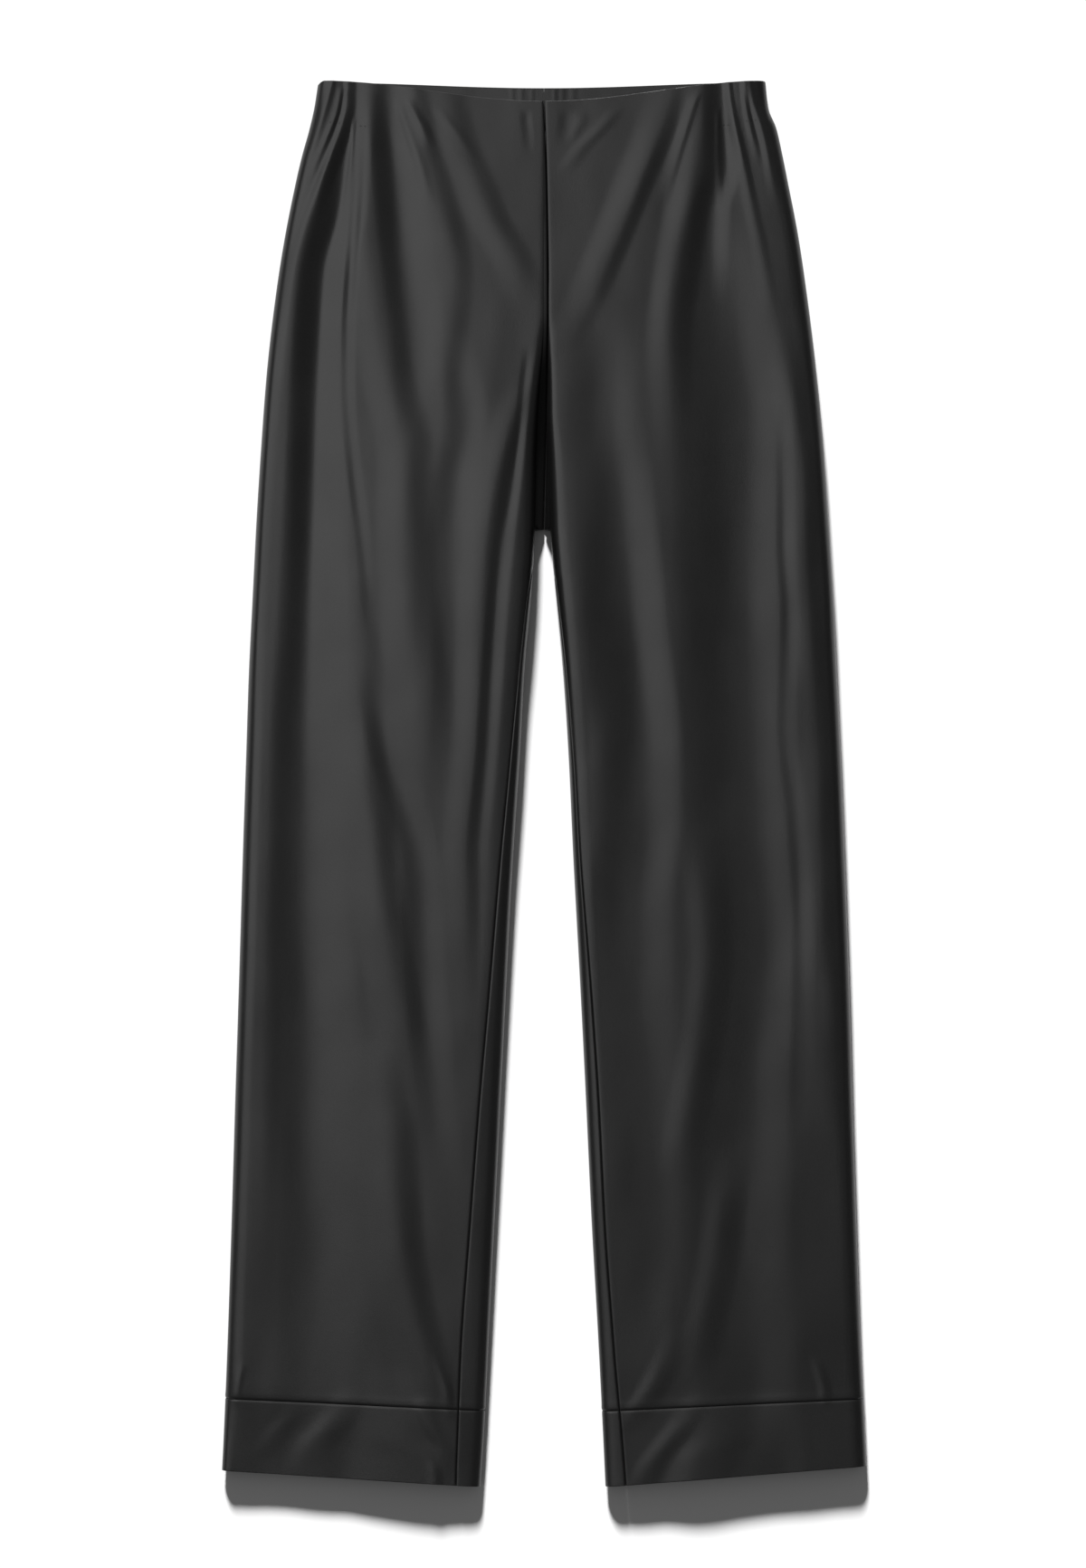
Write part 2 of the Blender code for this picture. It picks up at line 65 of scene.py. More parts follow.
# The section of each row: its side and inner edges, the height of the cloth towards each of
# them, and how far from the inner edge the inseam lies, on top or, below 0, underneath.
SECTION_COLUMNS = (
    "down", "edge_right", "edge_left", "inner_right", "inner_left",
    "loft_side", "loft_inner", "inseam_right", "inseam_left",
)
SECTIONS = (
    (0.0, 170.6, 167.2, 0.0, 0.0, 13.5, 13.5, 0.0, 0.0),
    (18.0, 173.3, 169.3, 0.0, 0.0, 13.8, 13.8, 0.0, 0.0),
    (34.0, 176.8, 175.4, 0.0, 0.0, 14.0, 14.0, 0.0, 0.0),
    (55.0, 182.4, 180.0, 0.0, 0.0, 14.5, 14.4, 0.0, 0.0),
    (75.0, 187.0, 183.9, 0.0, 0.0, 15.0, 15.0, 0.0, 0.0),
    (116.0, 195.2, 191.8, 0.0, 0.0, 15.6, 16.0, 0.0, 0.0),
    (157.0, 201.7, 197.9, 0.0, 0.0, 16.3, 17.5, 0.0, 0.0),
    (218.0, 208.9, 205.4, 0.0, 0.0, 17.0, 19.0, 0.0, 0.0),
    (280.0, 213.6, 211.3, 3.4, 2.4, 18.0, 21.0, -2.2, -2.2),
    (338.0, 217.2, 215.1, 6.8, 4.8, 18.0, 22.0, -2.2, -2.2),
    (360.0, 218.3, 216.5, 7.6, 6.4, 18.0, 22.0, -0.6, -0.8),
    (392.0, 219.9, 218.4, 9.8, 9.5, 18.0, 22.0, 2.4, 1.0),
    (444.0, 222.5, 220.8, 14.3, 14.3, 17.5, 21.0, 4.1, 2.0),
    (510.0, 224.7, 223.9, 18.1, 18.6, 17.0, 20.0, 7.1, 4.0),
    (590.0, 227.4, 227.1, 23.4, 22.3, 16.5, 18.5, 9.7, 5.4),
    (680.0, 230.1, 230.3, 28.2, 27.2, 16.0, 17.0, 12.5, 8.0),
    (770.0, 233.0, 232.8, 32.7, 31.7, 15.0, 16.0, 16.0, 9.6),
    (860.0, 235.7, 235.7, 37.2, 35.9, 14.5, 15.0, 18.4, 9.9),
    (950.0, 238.7, 238.9, 41.7, 41.0, 13.5, 14.0, 20.5, 11.5),
    (1020.0, 241.6, 242.2, 45.2, 44.5, 13.0, 13.0, 19.5, 14.5),
    (1060.0, 243.6, 244.0, 47.8, 46.4, 12.5, 12.5, 17.9, 15.8),
)

# Above the crotch the two fronts roll down into a valley along the centre seam: the share of
# the drop that is taken, how far out each side's roll begins, and how wide that roll is.
VALLEY_COLUMNS = ("down", "share", "gap_right", "gap_left", "roll_right", "roll_left")
VALLEY = (
    (0.0, 0.03, 0.0, 0.0, 4.0, 4.0),
    (175.0, 0.05, 0.0, 0.0, 6.0, 5.0),
    (200.0, 0.30, 0.8, 0.5, 8.0, 6.0),
    (225.0, 0.66, 2.6, 1.4, 10.0, 7.0),
    (252.0, 0.88, 4.6, 2.3, 12.0, 8.5),
    (285.0, 0.97, 5.9, 3.3, 16.0, 11.0),
    (338.0, 1.0, 6.8, 4.8, 20.0, 14.0),
)
VALLEY_FLOOR = 2 * SOLID_CLOTH - 0.1
MIN_WALL = 0.2
CENTRE_SEAM_BOW = 3.0

# A rolled edge is a quarter-round tip and a flatter shoulder behind it.  The tip takes most of
# the rise, and the outermost point lies at MID_SHARE of the cloth's full height.
TIP_WIDTH = 8.0
TIP_SHARE = 0.8
TIP_TO_SHOULDER = 0.6
MID_SHARE = 0.46
SIDE_SHOULDER = 13.0
INNER_SHOULDER = {"right": 20.0, "left": 14.0}

# The side seam lies this far in from the side edge, underneath.
SIDE_SEAM_UNDER = 0.5

# Folds fade out over these distances from the side edge and from the inner edge.
RELIEF_FADE_SIDE = 12.0
RELIEF_FADE_INNER = 16.0

# The waist edge dips in the middle of the front and of the back, and drops at its two ends.
WAIST_HALF = 170.0
WAIST_DIP = {"front": 15.5, "back": 4.2}
WAIST_CORNER = 5.0
WAIST_CORNER_DROP = 2.5
DIP_FADE = 70.0

# The seam of each hem band and the hem: how far down at the side edge, and how much further
# down at the inner leg edge.
BAND_SEAM_DOWN = {"right": 993.4, "left": 993.7}
BAND_SEAM_SLANT = {"right": 9.2, "left": 9.3}
HEM_DOWN = {"right": 1047.7, "left": 1044.3}
HEM_SLANT = {side: LENGTH - HEM_DOWN[side] for side in SIDES}

# ---------------------------------------------------------------------------- the folds

# Each fold follows a route of (down, across, height) points: a crest has a positive height and
# a trough a negative one.  Its outer half faces the side edge and its inner half the middle of
# the garment; both widen by "spread" towards the low end.
FOLD_COLUMNS = ("side", "outer", "inner", "spread", "route")
FOLDS = {
    # Wearer's right leg, from the side edge inwards.
    "right_side_trough": (
        "right", 16, 18, 2.9,
        ((-10, 141, -0.6), (20, 143, -1.4), (61, 149, -2.1), (102, 154, -2.6), (143, 164, -2.8),
         (184, 168, -2.9), (253, 171, -3.0), (389, 175, -3.0), (498, 178, -3.0), (621, 177, -2.8),
         (758, 176, -2.5), (860, 171, -1.9), (975, 168, -1.3), (1100, 168, -0.9)),
    ),
    "right_thigh_crest": (
        "right", 18, 20, 1.5,
        ((-10, 131, 0.3), (41, 133, 0.9), (102, 133, 1.2), (171, 127, 1.2), (225, 118, 1.2),
         (280, 105, 1.5), (362, 106, 1.7), (416, 101, 1.4), (471, 91, 0.8), (570, 78, 0.0)),
    ),
    "right_hip_trough": (
        "right", 19, 22, 1.1,
        ((-10, 118, -0.6), (20, 117, -1.7), (61, 112, -2.2), (102, 108, -2.1), (143, 103, -1.6),
         (198, 97, -1.0), (270, 93, 0.0)),
    ),
    "right_belly_crest": (
        "right", 17, 15, 1.2,
        ((-10, 102, 0.3), (41, 92, 0.6), (82, 82, 0.7), (143, 68, 0.7), (198, 72, 0.6), (270, 84, 0.0)),
    ),
    "right_belly_diagonal": (
        "right", 19, 17, 1.1,
        ((-5, 74, 0.2), (41, 64, 0.8), (82, 50, 1.0), (102, 42, 1.0), (123, 30, 0.7), (150, 16, 0.35),
         (180, 5, 0.0)),
    ),
    "right_thigh_trough": (
        "right", 20, 17, 1.0,
        ((190, 70, -0.1), (253, 58, -0.8), (307, 66, -1.0), (362, 68, -0.9), (444, 67, -0.6), (550, 73, 0.0)),
    ),
    "right_inner_thigh_crest": (
        "right", 18, 12, 1.1,
        ((225, 10, 0.0), (253, 24, 0.5), (307, 38, 0.9), (362, 46, 0.9), (416, 49, 0.8), (498, 53, 0.7),
         (587, 60, 0.8), (690, 60, 0.0)),
    ),
    "right_rim_trough": (
        "right", 8, 9, 1.2,
        ((235, 16, 0.0), (307, 25, -0.6), (389, 35, -0.7), (498, 43, -0.5), (600, 53, 0.0)),
    ),
    "right_shin_crest": (
        "right", 18, 18, 1.3,
        ((350, 132, 0.0), (400, 139, 0.5), (498, 137, 1.0), (553, 131, 1.3), (621, 124, 1.3), (689, 112, 0.9),
         (760, 98, 0.0)),
    ),
    "right_shin_trough": (
        "right", 16, 16, 1.2,
        ((440, 130, 0.0), (498, 119, -0.7), (587, 93, -0.9), (655, 90, -0.9), (740, 84, -0.6),
         (830, 76, 0.0)),
    ),
    "right_ankle_crest": (
        "right", 24, 20, 1.2,
        ((720, 127, 0.0), (792, 114, 1.0), (860, 110, 1.3), (928, 99, 1.4), (985, 80, 0.8), (1030, 66, 0.0)),
    ),
    "right_hem_side_crest": (
        "right", 30, 26, 1.0,
        ((930, 158, 0.0), (1000, 160, 0.5), (1030, 169, 0.8), (1100, 178, 0.9)),
    ),
    "right_hem_inner_crest": (
        "right", 42, 26, 1.0,
        ((965, 104, 0.0), (1014, 101, 0.6), (1031, 91, 0.8), (1100, 86, 0.8)),
    ),
    "right_hem_slope": (
        "right", 60, 150, 1.0, ((985, 236, 0.0), (1030, 238, -1.8), (1100, 240, -3.0)),
    ),
    # Wearer's left leg, from the inner leg edge outwards.
    "left_inner_thigh_trough": (
        "left", 29, 38, 1.1,
        ((170, 45, 0.0), (253, 49, -1.3), (334, 58, -2.4), (389, 63, -3.0), (444, 70, -2.9), (498, 76, -2.5),
         (553, 76, -2.2), (621, 70, -1.7), (689, 72, -1.1), (758, 78, -0.8), (860, 84, -0.6), (960, 80, 0.0)),
    ),
    "left_side_trough": (
        "left", 36, 54, 1.1,
        ((80, 124, 0.0), (143, 134, -1.7), (198, 145, -2.3), (253, 152, -2.5), (334, 151, -2.6),
         (444, 153, -2.5), (553, 158, -2.3), (655, 164, -2.1), (758, 156, -1.9), (860, 150, -1.4),
         (985, 152, -0.9), (1031, 164, -0.9), (1100, 170, -0.9)),
    ),
    "left_side_crest": (
        "left", 11, 17, 1.1,
        ((180, 180, 0.0), (225, 186, 0.5), (307, 195, 0.9), (348, 196, 0.9), (416, 200, 0.8), (484, 204, 0.6),
         (553, 207, 0.6), (621, 209, 0.6), (689, 213, 0.5), (780, 216, 0.3), (860, 218, 0.0)),
    ),
    "left_side_step": (
        "left", 9, 7, 1.3,
        ((225, 182, 0.0), (300, 181, -0.3), (348, 181, -0.4), (400, 184, -0.35), (486, 182, -0.3),
         (553, 189, -0.3), (640, 194, -0.35), (760, 192, -0.2), (830, 190, 0.0)),
    ),
    "left_belly_crest": (
        "left", 17, 19, 1.2,
        ((-10, 121, 0.3), (20, 119, 0.9), (61, 114, 1.3), (102, 107, 1.8), (143, 101, 1.6), (198, 95, 1.0),
         (300, 94, 0.3), (420, 102, 0.0)),
    ),
    "left_belly_diagonal": (
        "left", 14, 22, 1.0,
        ((0, 96, 0.3), (41, 84, 1.0), (82, 69, 1.3), (123, 53, 1.1), (171, 32, 0.4), (205, 14, 0.0)),
    ),
    "left_hip_trough": (
        "left", 12, 15, 1.3,
        ((-10, 132, -0.8), (20, 134, -1.5), (61, 136, -1.7), (102, 127, -1.3), (170, 124, 0.0)),
    ),
    "left_knee_crest": (
        "left", 20, 18, 1.0,
        ((560, 120, 0.0), (606, 122, 0.5), (655, 125, 0.7), (702, 121, 0.7), (758, 111, 0.6), (830, 96, 0.0)),
    ),
    "left_ankle_crest": (
        "left", 20, 18, 1.0,
        ((800, 140, 0.0), (860, 134, 0.7), (900, 128, 0.7), (985, 108, 0.0)),
    ),
    "left_hem_rise": (
        "left", 80, 70, 1.0, ((985, 150, 0.0), (1030, 145, 1.2), (1100, 140, 2.4)),
    ),
    "left_hem_crest": (
        "left", 38, 28, 1.0,
        ((960, 130, 0.0), (1014, 127, 0.7), (1031, 116, 0.8), (1100, 98, 0.8)),
    ),
}

# Finer folds, in the same columns: the gathers of the elastic waist, the lines that run down
# beside the main folds, and the small puckers near the waist edge and the hems.
GATHERS = {
    "right_gather_1": (
        "right", 5, 4, 1.5, ((-5, 158, 0.5), (20, 165, 0.7), (32, 169, 0.7), (44, 173, 0.5), (61, 178, 0.0)),
    ),
    "right_gather_2": (
        "right", 3.6, 3, 1.3,
        ((4, 152, 0.0), (9, 153, 0.45), (24, 156, 0.5), (42, 163, 0.5), (61, 171, 0.3), (75, 176, 0.0)),
    ),
    "right_gather_3": (
        "right", 4.5, 7, 2.6,
        ((-5, 147, 0.6), (17, 148, 1.1), (32, 151, 1.4), (58, 160, 1.4), (78, 168, 1.4), (113, 180, 1.3),
         (147, 188, 1.1), (200, 194, 0.7), (270, 198, 0.0)),
    ),
    "right_gather_4": (
        "right", 2.2, 2.5, 1.5,
        ((25, 142, 0.0), (34, 143.5, 0.3), (55, 145, 0.35), (85, 149, 0.3), (115, 153, 0.0)),
    ),
    "right_crease": (
        "right", 14, 8, 1.3,
        ((20, 144, 0.0), (41, 147, -0.4), (61, 150, -0.7), (102, 156, -0.9), (143, 166, -0.9),
         (184, 169, -0.9), (253, 172, -0.8), (389, 176, -0.6), (520, 180, 0.0)),
    ),
    "right_split": (
        "right", 6, 6, 1.2,
        ((20, 138, 0.0), (34, 139.5, -0.4), (75, 140.5, -0.8), (102, 142, -1.0), (143, 145, -1.2),
         (184, 147.5, -1.0), (225, 148, -0.7), (266, 146, -0.55), (348, 136, -0.4), (420, 130, 0.0)),
    ),
    "right_side_ridge": (
        "right", 8, 26, 1.0,
        ((420, 212, 0.0), (500, 215, 0.6), (621, 219, 0.8), (758, 224, 0.8), (900, 228, 0.8),
         (1000, 231, 0.7), (1100, 233, 0.6)),
    ),
    "right_rim_line": (
        "right", 5, 6, 1.2,
        ((200, 11, 0.0), (225, 14, -0.5), (266, 18, -0.6), (307, 23, -0.4), (345, 29, 0.0)),
    ),
    "right_gather_5": (
        "right", 4, 5, 1.6, ((10, 110, 0.0), (22, 107, 0.5), (41, 101, 0.6), (68, 93, 0.4), (95, 86, 0.0)),
    ),
    "right_gather_6": (
        "right", 4, 6, 1.3, ((8, 103, 0.0), (14, 101, 0.4), (31, 92, 0.45), (50, 86, 0.0)),
    ),
    "right_edge_slant": (
        "right", 8, 7, 1.0, ((10, 82, 0.0), (24, 73, 0.2), (38, 63, 0.2), (60, 52, 0.0)),
    ),
    "right_edge_pucker": (
        "right", 6, 5, 1.0, ((8, 13, 0.0), (16, 13, -0.25), (30, 12, -0.2), (52, 11, 0.0)),
    ),
    "right_hem_pucker_1": (
        "right", 5, 5, 1.0, ((962, 225, 0.0), (977, 230, 0.35), (987, 232, 0.45), (1000, 233, 0.0)),
    ),
    "right_hem_pucker_2": (
        "right", 6, 6, 1.0, ((952, 82, 0.0), (968, 77, 0.3), (981, 73, 0.5), (991, 72, 0.2), (1001, 71, 0.0)),
    ),
    "right_band_crest_1": (
        "right", 15, 22, 1.0,
        ((980, 146, 0.0), (997, 154, 0.35), (1012, 165, 0.55), (1026, 176, 0.4), (1052, 188, 0.0)),
    ),
    "right_band_crest_2": (
        "right", 11, 15, 1.0, ((990, 186, 0.0), (1004, 191, 0.22), (1018, 203, 0.25), (1036, 213, 0.0)),
    ),
    "right_band_crest_3": (
        "right", 9, 13, 1.0,
        ((984, 94, 0.0), (996, 91, 0.45), (1010, 84, 0.6), (1021, 77, 0.4), (1042, 69, 0.0)),
    ),
    "right_band_pucker": (
        "right", 7, 8, 1.0, ((1030, 85, 0.0), (1040, 83, 0.4), (1055, 82, 0.5), (1080, 80, 0.4)),
    ),
    "left_hem_pucker_1": (
        "left", 18, 12, 1.0,
        ((930, 100, 0.0), (956, 91, 0.35), (978, 80, 0.6), (992, 70, 0.4), (1008, 62, 0.0)),
    ),
    "left_hem_pucker_2": (
        "left", 7, 6, 1.0, ((960, 203, 0.0), (974, 208, 0.35), (985, 211, 0.4), (998, 212, 0.0)),
    ),
    "left_band_crest": (
        "left", 17, 15, 1.0,
        ((980, 118, 0.0), (1000, 107, 0.4), (1017, 93, 0.65), (1033, 80, 0.5), (1056, 69, 0.0)),
    ),
    "left_edge_pucker": (
        "left", 8, 8, 1.0, ((8, 17, 0.0), (18, 17, -0.25), (28, 16, -0.2), (45, 14, 0.0)),
    ),
    "left_edge_ridge": (
        "left", 7, 7, 1.0, ((8, 29, 0.0), (20, 28, 0.2), (28, 25, 0.15), (40, 20, 0.0)),
    ),
    "left_edge_slant": (
        "left", 9, 9, 1.2, ((8, 56, 0.0), (24, 46, 0.3), (46, 28, 0.35), (72, 15, 0.0)),
    ),
    "left_gather_1": (
        "left", 4, 7, 1.4, ((5, 117, 0.0), (12, 114, 0.35), (37, 106, 0.5), (65, 98, 0.4), (95, 90, 0.0)),
    ),
    "left_gather_2": (
        "left", 2.5, 3, 1.7,
        ((18, 131, 0.0), (28, 131, 0.35), (51, 131, 0.4), (75, 132, 0.25), (105, 134, 0.0)),
    ),
    "left_wedge": (
        "left", 5, 5, 1.6,
        ((22, 135, 0.0), (40, 136.5, -0.4), (58, 138, -0.4), (80, 141, -0.2), (100, 145, 0.0)),
    ),
    "left_gather_3": (
        "left", 4, 5, 2.0,
        ((-5, 138, 0.6), (14, 140, 0.9), (34, 143.5, 1.0), (62, 150, 0.8), (97, 157, 0.45), (131, 164, 0.25),
         (180, 172, 0.0)),
    ),
    "left_gather_4": (
        "left", 3.5, 4, 1.2, ((-5, 150, 0.4), (17, 152, 0.6), (34, 155, 0.6), (50, 159, 0.3), (65, 162, 0.0)),
    ),
    "left_gather_5": (
        "left", 5, 5, 1.4,
        ((-5, 153, 0.5), (10, 156, 0.7), (29, 162, 0.8), (51, 168, 0.7), (68, 171, 0.4), (95, 176, 0.0)),
    ),
}

# Shallow creases of the back, in the same columns; their heights are how far the cloth lifts
# off the floor along them.
BACK_CREASES = {
    "right_hip": (
        "right", 8, 10, 1.4,
        ((8, 148, 0.0), (60, 156, 0.4), (130, 166, 0.5), (210, 172, 0.35), (300, 176, 0.0)),
    ),
    "right_seat": (
        "right", 9, 12, 1.3, ((40, 118, 0.0), (90, 104, 0.5), (150, 84, 0.6), (215, 60, 0.4), (270, 42, 0.0)),
    ),
    "right_thigh": (
        "right", 12, 14, 1.2,
        ((300, 60, 0.0), (380, 74, 0.5), (470, 96, 0.6), (560, 116, 0.4), (650, 130, 0.0)),
    ),
    "right_knee": (
        "right", 10, 13, 1.1, ((560, 86, 0.0), (640, 98, 0.4), (720, 120, 0.5), (800, 150, 0.0)),
    ),
    "right_calf": (
        "right", 13, 11, 1.2, ((760, 172, 0.0), (840, 150, 0.4), (920, 128, 0.5), (985, 118, 0.0)),
    ),
    "left_hip": (
        "left", 10, 8, 1.3, ((12, 139, 0.0), (70, 146, 0.4), (150, 160, 0.5), (240, 168, 0.0)),
    ),
    "left_seat": (
        "left", 11, 13, 1.2, ((70, 92, 0.0), (130, 72, 0.5), (200, 52, 0.5), (255, 34, 0.0)),
    ),
    "left_thigh": (
        "left", 14, 10, 1.3,
        ((270, 70, 0.0), (350, 88, 0.5), (430, 98, 0.6), (540, 128, 0.4), (600, 140, 0.0)),
    ),
    "left_knee": (
        "left", 12, 12, 1.1, ((600, 150, 0.0), (680, 132, 0.5), (760, 108, 0.4), (830, 92, 0.0)),
    ),
    "left_calf": (
        "left", 10, 14, 1.0, ((800, 128, 0.0), (880, 146, 0.4), (985, 172, 0.0)),
    ),
}
BACK_FADE = 16.0

# Upright ripples that the elastic draws in the turned-down casing: how far across each one is,
# its half width, and its height.
RIPPLES = {
    "right": (
        (9, 3, 0.08), (17, 3.5, 0.1), (24, 3, 0.08), (31, 3.5, 0.1), (44, 5, 0.08), (60, 6, 0.08),
        (83, 5, 0.06),
    ),
    "left": (
        (8, 3, 0.1), (14, 3, 0.08), (22, 4, 0.1), (33, 4, 0.07), (50, 6, 0.08), (71, 5, 0.06),
    ),
}

# Stretches of the stitch line below the elastic: the panel, its side, how far across the
# stretch begins and ends, and how far down it runs at its two ends.
STITCH_COLUMNS = ("part", "side", "begin", "end", "down_begin", "down_end")
STITCH_LINES = (
    ("front", "right", 133.5, 140.5, 34.0, 33.2),
    ("front", "right", 153.0, 162.0, 32.0, 31.4),
    ("front", "left", 131.0, 140.5, 33.4, 32.6),
    ("front", "left", 151.5, 160.5, 30.6, 29.8),
    ("back", "right", 2.0, 166.0, 32.0, 32.0),
    ("back", "left", 2.0, 164.0, 32.0, 32.0),
)
STITCH_LENGTH = 2.4
STITCH_STEP = 3.3

# The thread: where along a stitch its rings lie, its radius in the middle and the share of it
# left at the ends, and how high its centre lies over the cloth and how far the ends sink.
THREAD_STATIONS = (0.0, 0.12, 0.5, 0.88, 1.0)
THREAD_RADIUS = 0.2
THREAD_END = 0.45
THREAD_SIDES = 6
THREAD_LIFT = 0.06
THREAD_DIP = 0.3

# ------------------------------------------------------------------------- how cloth is made

# How the outer face turns in at a piece's edges: depth, width and power of the turn.
SEAM_TURN = (0.9, 1.7, 3.0)
WAIST_TURN = (0.1, 0.4, 2.0)
NO_TURN = (0.0, 1.0, 1.0)
BAND_TURN = (0.3, 1.3, 1.5)

# How much a leg panel swells above the seam of its hem band, how far above it, and the half
# width of the swell.
SEAM_PUFF = 0.22
SEAM_PUFF_AT = 3.4
SEAM_PUFF_WIDTH = 3.0

# Distances in from a piece's edge of its first rows and columns.
SEAM_STEPS = (0.0, 0.12, 0.35, 0.7, 1.1, 1.6, 2.4)

# How many columns of faces a piece has, how many of them lie on its inner roll, how far that
# roll reaches, and how much closer the columns lie where the cloth turns.
COLUMNS = {"front": 150, "back": 72}
ROLL_COLUMNS = 36
ROLL_REACH = 27.0
TURN_WEIGHT = 20.0

# Distances between rows: down to the gathers' end, down to the crotch, down the legs, down the
# hem bands and down the casing, and just past the crotch.
GATHERS_END = 130.0
GATHER_STEP = 2.2
HIP_STEP = 3.0
LEG_STEP = 3.6
BAND_STEP = 2.4
CASING_STEP = 1.4
CROTCH_STEP = 1.5

# How finely a section is worked out before the columns are placed on it, and how far a leg's
# closed section laps over itself.
TIP_SAMPLES = 25
UNDER_SAMPLES = 60
TOP_SAMPLES = 420
WALL_SAMPLES = 16
LAP = 60
SHARP_ANGLE = math.radians(55.0)


def spaced(start, end, step):
    """Even steps of about a given size from start to end, both included."""
    return np.linspace(start, end, max(2, round((end - start) / step) + 1))


def panel_rows(side):
    """Distances down of the rows of a leg panel, close together at its waist and seam ends."""
    low = BAND_SEAM_DOWN[side] - SEAM_GAP / 2
    ends = np.array(SEAM_STEPS)
    return np.concatenate((
        ends,
        spaced(ends[-1], GATHERS_END, GATHER_STEP)[1:],
        spaced(GATHERS_END, CROTCH_DOWN, HIP_STEP)[1:],
        spaced(CROTCH_DOWN + CROTCH_STEP, low - ends[-1], LEG_STEP),
        (low - ends)[::-1][1:],
    ))


def band_rows(side):
    """Distances down of the rows of a hem band."""
    top = BAND_SEAM_DOWN[side] + SEAM_GAP / 2
    ends = np.array(SEAM_STEPS)
    return np.concatenate((
        top + ends,
        spaced(top + ends[-1], HEM_DOWN[side] - ends[-1], BAND_STEP)[1:-1],
        (HEM_DOWN[side] - ends)[::-1],
    ))


def smooth_curve(stations, values, at):
    """A value on a smooth curve through the points, which never overshoots them."""
    steps = np.diff(stations)
    rises = np.diff(values) / steps
    agree = rises[:-1] * rises[1:] > 0.0
    total = np.where(agree, rises[:-1] + rises[1:], 1.0)
    inner_slopes = np.where(agree, 2.0 * rises[:-1] * rises[1:] / total, 0.0)
    slopes = np.concatenate((rises[:1], inner_slopes, rises[-1:]))
    i = int(np.clip(np.searchsorted(stations, at) - 1, 0, len(steps) - 1))
    t = float(np.clip((at - stations[i]) / steps[i], 0.0, 1.0))
    start = slopes[i] * steps[i]
    end = slopes[i + 1] * steps[i]
    rise = values[i + 1] - values[i]
    return values[i] + start * t + (3 * rise - 2 * start - end) * t**2 + (start + end - 2 * rise) * t**3


def table_value(table, columns, name, down):
    """One named column of a table at a distance down."""
    rows = np.array(table, float)
    return smooth_curve(rows[:, 0], rows[:, columns.index(name)], down)


def section_value(name, down):
    """One named column of the section table."""
    return table_value(SECTIONS, SECTION_COLUMNS, name, down)


def valley_value(name, down):
    """One named column of the valley table."""
    return table_value(VALLEY, VALLEY_COLUMNS, name, down)


def smooth_step(value):
    """0 below 0, 1 above 1, and an even ramp between."""
    t = np.clip(value, 0.0, 1.0)
    return t * t * (3.0 - 2.0 * t)


def swell(distance, width):
    """A soft swell: 1 on its line, and 0 from its width away."""
    return 0.5 * (1.0 + np.cos(math.pi * np.clip(distance / width, 0.0, 1.0)))


def fold_relief(folds, side, down, across):
    """Height that a table of folds adds to one side at a distance down."""
    relief = np.zeros_like(across)
    for values in folds.values():
        fold = dict(zip(FOLD_COLUMNS, values))
        route = np.array(fold["route"], float)
        top = route[0, 0]
        low = route[-1, 0]
        if fold["side"] != side or not top < down < low:
            continue
        line = smooth_curve(route[:, 0], route[:, 1], down)
        height = smooth_curve(route[:, 0], route[:, 2], down)
        widen = 1.0 + (fold["spread"] - 1.0) * (down - top) / (low - top)
        width = np.where(across > line, fold["outer"], fold["inner"]) * widen
        relief += height * swell(np.abs(across - line), width)
    return relief


def quarter_round(distance, width):
    """Height share of a quarter-round edge: 0 at the edge and 1 from its width inwards."""
    left = 1.0 - np.clip(distance / width, 0.0, 1.0)
    return np.sqrt(1.0 - left * left)


def edge_rise(distance, shoulder):
    """Height share of a rolled edge with its shoulder."""
    left = 1.0 - np.clip(distance / shoulder, 0.0, 1.0)
    tip = min(TIP_WIDTH, TIP_TO_SHOULDER * shoulder)
    return TIP_SHARE * quarter_round(distance, tip) + (1.0 - TIP_SHARE) * (1.0 - left * left)


def centre_seam(down):
    """How far the centre front seam lies towards the wearer's left."""
    return CENTRE_SEAM_BOW * math.sin(math.pi * min(down / CROTCH_DOWN, 1.0))


def edge_samples(width):
    """Distances in from a rolled edge, close together at its tip."""
    angles = np.linspace(0.0, math.pi / 2, TIP_SAMPLES)
    return width * (1.0 - np.cos(angles))


def row_frame(side, down):
    """Side edge, inner end, and the drop from the side edge to the inner edge of one row."""
    slant = np.interp(
        down,
        (CROTCH_DOWN, BAND_SEAM_DOWN[side], HEM_DOWN[side]),
        (0.0, BAND_SEAM_SLANT[side], HEM_SLANT[side]),
    )
    edge = section_value("edge_" + side, down)
    if down > CROTCH_DOWN:
        inner = section_value("inner_" + side, down + slant)
    else:
        inner = SEAM_GAP / 2 + SIDE_SIGN[side] * centre_seam(down)
    return edge, inner, slant


